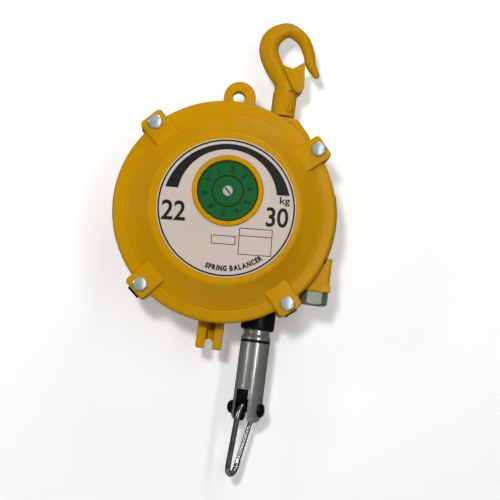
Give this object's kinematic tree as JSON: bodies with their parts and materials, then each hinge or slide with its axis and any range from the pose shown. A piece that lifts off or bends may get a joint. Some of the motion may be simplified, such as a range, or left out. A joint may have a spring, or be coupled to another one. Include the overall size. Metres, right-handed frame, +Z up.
{
  "type": "spring balancer",
  "caption": "Round cast spring balancer hung from a swivelling latch hook, with a sprung wire rope, tension indicator, worm adjuster, swivel clevis and snap hook",
  "frame": {"origin": "the seat inside the top hook, where a bar or eye carries the balancer", "axes": "+Z up, along the rope; the dial and label face -Y; the hook and the rope stand on the +X side of the housing's centre"},
  "size_m": [0.2382, 0.1265, 0.4966],
  "materials": {
    "hook_enamel": "satin yellow enamel on a rough forging",
    "case_enamel": "glossy yellow enamel on a casting",
    "zinc": "bright zinc plate",
    "bright_zinc": "polished zinc plate",
    "nickel": "turned steel with dull nickel plate",
    "dark_steel": "black oxide",
    "steel": "ground",
    "spring_steel": "blued",
    "bronze": "sintered",
    "cast_alloy": "as cast, with machined faces",
    "rope_wire": "galvanised strand",
    "rubber": "moulded",
    "black_plastic": "moulded",
    "label": "matte printed foil",
    "dial_green": "moulded, with filled figures"
  },
  "bodies": {
    "hook": {"top_hook": "hook_enamel", "hook_rivet": "hook_enamel", "hook_stud": "steel", "hook_top_washer": "dark_steel", "latch_pin": "zinc"},
    "latch": {"hook_latch": "hook_enamel", "latch_spring": "spring_steel"},
    "housing": {"rear_case": "case_enamel", "front_cover": "case_enamel", "cover_bolts": "zinc", "cover_washers": "zinc", "cover_nuts": "dark_steel", "label_plate": "label", "main_shaft": "steel", "shaft_washer": "zinc", "shaft_nut": "zinc", "worm_bush": "bronze", "rope_guide": "black_plastic", "hook_bush": "bronze", "hook_thrust_washer": "bronze"},
    "drum": {"rope_drum": "cast_alloy", "rear_drum_bearing": "steel", "front_drum_bearing": "steel", "rope_turns": "rope_wire"},
    "spring_case": {"worm_wheel": "cast_alloy", "wheel_bush": "bronze", "spring_case_lid": "steel", "mainspring": "spring_steel", "indicator_gear": "bronze"},
    "worm": {"worm": "zinc"},
    "dial": {"dial_disc": "dial_green", "dial_screw": "dark_steel", "dial_spindle": "bronze"},
    "rope_end": {"rubber_buffer": "rubber", "rope_socket": "nickel", "rope_ferrule": "steel", "wire_rope": "rope_wire"},
    "swivel": {"swivel_clevis": "nickel", "clevis_pin": "dark_steel", "swivel_bearing": "bronze", "swivel_seal": "black_plastic"},
    "snap": {"snap_hook": "bright_zinc", "gate_pin": "steel"},
    "gate": {"snap_gate": "bright_zinc"}
  },
  "joints": [
    {"name": "hook_swivel", "type": "hinge", "parent": "hook", "child": "housing", "pos_m": [0, 0, -0.09], "axis": [0, 0, 1], "continuous": true},
    {"name": "latch_hinge", "type": "hinge", "parent": "hook", "child": "latch", "pos_m": [0.0126, 0, -0.056], "axis": [0, 1, 0], "range_deg": [-30, 0], "stiffness_Nm_per_rad": 0.02, "springref_deg": 28.65},
    {"name": "drum_turn", "type": "hinge", "parent": "housing", "child": "drum", "pos_m": [-0.05, 0, -0.206], "axis": [0, 1, 0], "range_deg": [0, 1636], "stiffness_Nm_per_rad": 0.12, "springref_deg": -5557.69},
    {"name": "rope_slide", "type": "slide", "parent": "housing", "child": "rope_end", "axis": [0, 0, -1], "range_m": [0, 1.5], "deforming": ["wire_rope"]},
    {"name": "rope_swivel", "type": "hinge", "parent": "rope_end", "child": "swivel", "pos_m": [0.0025, 0, -0.34], "axis": [0, 0, 1], "continuous": true},
    {"name": "snap_swing", "type": "hinge", "parent": "swivel", "child": "snap", "pos_m": [0.0025, 0, -0.408], "axis": [-0.866, 0.5, 0], "range_deg": [-60, 60]},
    {"name": "gate_hinge", "type": "hinge", "parent": "snap", "child": "gate", "pos_m": [0.00031, 0.0087, -0.46708], "axis": [-0.8596, 0.5, 0.1055], "range_deg": [-20, 0], "stiffness_Nm_per_rad": 0.02, "springref_deg": 28.65},
    {"name": "spring_case_turn", "type": "hinge", "parent": "housing", "child": "spring_case", "pos_m": [-0.05, 0, -0.206], "axis": [0, 1, 0], "continuous": true},
    {"name": "worm_turn", "type": "hinge", "parent": "housing", "child": "worm", "pos_m": [0.0555, -0.029, -0.206], "axis": [0, 0, 1], "continuous": true},
    {"name": "dial_turn", "type": "hinge", "parent": "housing", "child": "dial", "pos_m": [-0.05, 0, -0.188], "axis": [0, 1, 0], "continuous": true}
  ],
  "couplings": [
    {"joint": "rope_slide", "follows": "drum_turn", "m_per_rad": 0.0525},
    {"joint": "worm_turn", "follows": "spring_case_turn", "ratio": 64},
    {"joint": "dial_turn", "follows": "spring_case_turn", "ratio": -3}
  ]
}
